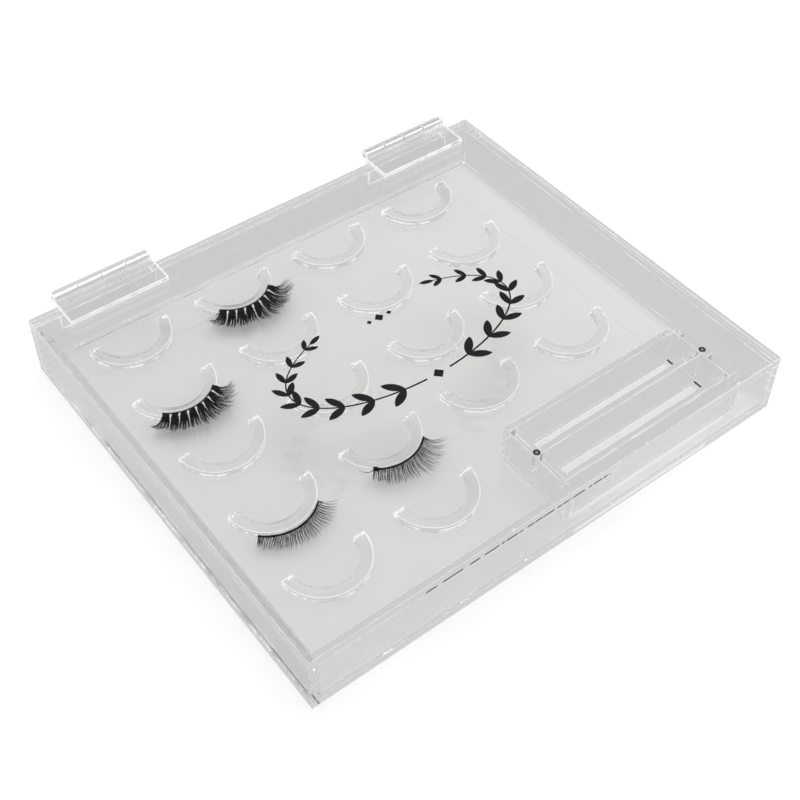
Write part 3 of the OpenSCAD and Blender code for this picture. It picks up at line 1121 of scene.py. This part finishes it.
class LASHCASE_OT_stage(bpy.types.Operator):
    """Set up the camera, the soft lamps, the floor and the white surroundings"""

    bl_idname = "lashcase.stage"
    bl_label = "Studio"

    def execute(self, context):
        stage = context.scene.lash_case_stage
        self.camera(context, stage)
        self.floor(context, stage)
        self.world(context, stage)
        self.lamp(context, "soft_top", (0.12, 0.10, 1.45), stage.lamps)
        self.lamp(context, "soft_side", (1.2, -0.55, 1.0), SIDE_LAMP_SHARE * stage.lamps)
        context.scene.view_settings.view_transform = "Standard"
        return {"FINISHED"}

    def camera(self, context, stage):
        roll = stage.roll
        back = towards_camera(stage)
        right = Vector((math.cos(stage.azimuth), math.sin(stage.azimuth), 0))
        up = back.cross(right)
        turned_right = math.cos(roll) * right + math.sin(roll) * up
        turned_up = -math.sin(roll) * right + math.cos(roll) * up
        data = bpy.data.cameras.new("camera")
        data.lens = stage.lens
        data.sensor_width = SENSOR
        data.shift_x, data.shift_y = stage.shift
        data.clip_start = 0.01
        data.clip_end = 50
        camera = bpy.data.objects.new("camera", data)
        context.scene.collection.objects.link(camera)
        turn = Matrix((turned_right, turned_up, back)).transposed().to_4x4()
        place = Vector(stage.target) + stage.distance * back
        camera.matrix_world = Matrix.Translation(place) @ turn
        context.scene.camera = camera

    def floor(self, context, stage):
        work = bmesh.new()
        bmesh.ops.create_grid(work, x_segments=1, y_segments=1, size=FLOOR_HALF)
        bmesh.ops.translate(work, vec=(0, 0, -FLOOR_DROP), verts=work.verts)
        mesh = bpy.data.meshes.new("floor")
        work.to_mesh(mesh)
        work.free()
        floor = bpy.data.objects.new("floor", mesh)
        context.scene.collection.objects.link(floor)
        look = material("white_table")
        place = look.place()
        direct = look.light_path(SEEN[0])
        seen = look.light_path(*SEEN)
        near = self.near_floor(look, stage, place, direct, seen)
        beside = look.emission(self.beside_level(look, stage, place))
        look.finish(look.mix((seen - direct) * self.beside_case(look, place), near, beside))
        mesh.materials.append(look.block)

    def near_floor(self, look, stage, place, direct, seen):
        """Pale paper with a glow and painted light on the right and under the compartment; white
        far from the case.
        """
        grain = look.noise(place, 30, 3.0)
        colour, lighter = opaque(stage.floor_colour), opaque(stage.floor_colour, 1.02)
        paper = look.node(
            "BsdfDiffuse",
            sockets={"Color": look.ramp(grain, [(0.3, colour), (0.7, lighter)])},
        )
        low, high = CAD_BOUNDS
        # Painted light: the glow seen through the case grows to the right and under the
        # compartment.
        rightward = (look.axes(place) - low[0]) / (high[0] - low[0])
        painted_side_light = look.ramp(rightward, [(0.0, 0.5), (0.5, 0.7), (1.0, 1.5)])
        tray = self.under_tray(look, place) * stage.tray_painted_light
        added = direct * (stage.glow - stage.glow_through)
        added = added + seen * (tray + painted_side_light * stage.glow_through)
        near = look.node("AddShader", sockets={0: paper, 1: look.emission(added)})
        far = look.ramp(look.length(place), [(0.24, 0.0), (0.6, 1.0)])
        return look.mix(direct * far, near, look.emission(WHITE))

    def under_tray(self, look, place):
        """1 on the floor under the compartment."""
        low = (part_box("tray_back_wall")[0].x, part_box("tray_front_wall")[0].y)
        return inside_box(look, place, *flat_box(low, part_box("tray_back_wall")[1]))

    def beside_case(self, look, place):
        """1 on the floor beside the case, from a soft border just inside its outline."""
        over = past_box(look, place, *flat_box(*CAD_BOUNDS))
        return look.ramp(over.either(over.out("Y")) + 6 * MM, [(0.0, 0.0), (8 * MM, 1.0)])

    def beside_level(self, look, stage, place):
        """Brightness of the floor beside the case, with painted light: more behind, on the right
        and in a patch.
        """
        axes = look.axes(place)
        backward = (axes.out("Y") + 150 * MM) / (300 * MM)
        rightward = (axes + 200 * MM) / (400 * MM)
        patch = look.length(look.vector("SUBTRACT", place, (60 * MM, -130 * MM, 0)))
        level = look.ramp(backward, [(0.1, 0.72 * stage.beside), (0.9, 1.25 * stage.beside)])
        level = level.either(look.ramp(patch, [(0.03, 0.84), (0.12, 0.0)]))
        return level.either(look.ramp(rightward, [(0.70, 0.0), (0.79, 0.68)]))

    def world(self, context, stage):
        """White to rays that show a surface, with a dark card where the lid mirrors the room."""
        look = Look(bpy.data.worlds.new("studio"))
        context.scene.world = look.block
        direction = look.node("TexCoord", out="Generated")
        mirrored = towards_camera(stage) * Vector((-1, -1, 1))
        facing = look.vector("DOT_PRODUCT", direction, mirrored, "Value")
        card = (facing > 0.86) * (look.light_path("Ray Depth") < CARD_TURNS)
        room = look.background(look.ramp(card, [(0.0, 1.0), (1.0, stage.dark_card)]))
        light = look.background(WHITE, stage.sky)
        look.finish(look.mix(look.light_path(*SEEN), light, room), "OutputWorld")

    def lamp(self, context, name, place, power):
        """A soft round lamp that is aimed at the case."""
        data = bpy.data.lights.new(name, "AREA")
        data.shape = "DISK"
        data.size = LAMP_SIZE
        data.energy = power
        lamp = bpy.data.objects.new(name, data)
        context.scene.collection.objects.link(lamp)
        lamp.location = place
        lamp.rotation_euler = (-Vector(place)).to_track_quat("-Z", "Y").to_euler()


class LASHCASE_PT_tools(bpy.types.Panel):
    """Steps that make up the clear lash case"""

    bl_label = "Clear Lash Case"
    bl_idname = "LASHCASE_PT_tools"
    bl_space_type = "VIEW_3D"
    bl_region_type = "UI"
    bl_category = "Lash Case"

    def draw(self, context):
        column = self.layout.column()
        for step in OPERATORS:
            column.operator(step.bl_idname)
        for group in (context.scene.lash_case, context.scene.lash_case_stage):
            box = self.layout.box()
            for name in group.bl_rna.properties.keys():
                if name not in ("rna_type", "name"):
                    box.prop(group, name)


OPERATORS = (
    LASHCASE_OT_sheets,
    LASHCASE_OT_hinges,
    LASHCASE_OT_magnets,
    LASHCASE_OT_lashes,
    LASHCASE_OT_ornament,
    LASHCASE_OT_stage,
)
CLASSES = (LashCaseSettings, LashCaseStage, *OPERATORS, LASHCASE_PT_tools)


def register():
    for cls in CLASSES:
        bpy.utils.register_class(cls)
    bpy.types.Scene.lash_case = PointerProperty(type=LashCaseSettings)
    bpy.types.Scene.lash_case_stage = PointerProperty(type=LashCaseStage)


def unregister():
    del bpy.types.Scene.lash_case_stage
    del bpy.types.Scene.lash_case
    for cls in reversed(CLASSES):
        bpy.utils.unregister_class(cls)


def main():
    register()
    bpy.ops.lashcase.sheets()
    bpy.ops.lashcase.hinges()
    bpy.ops.lashcase.magnets()
    bpy.ops.lashcase.lashes()
    bpy.ops.lashcase.ornament()
    bpy.ops.lashcase.stage()


if __name__ == "__main__":
    main()
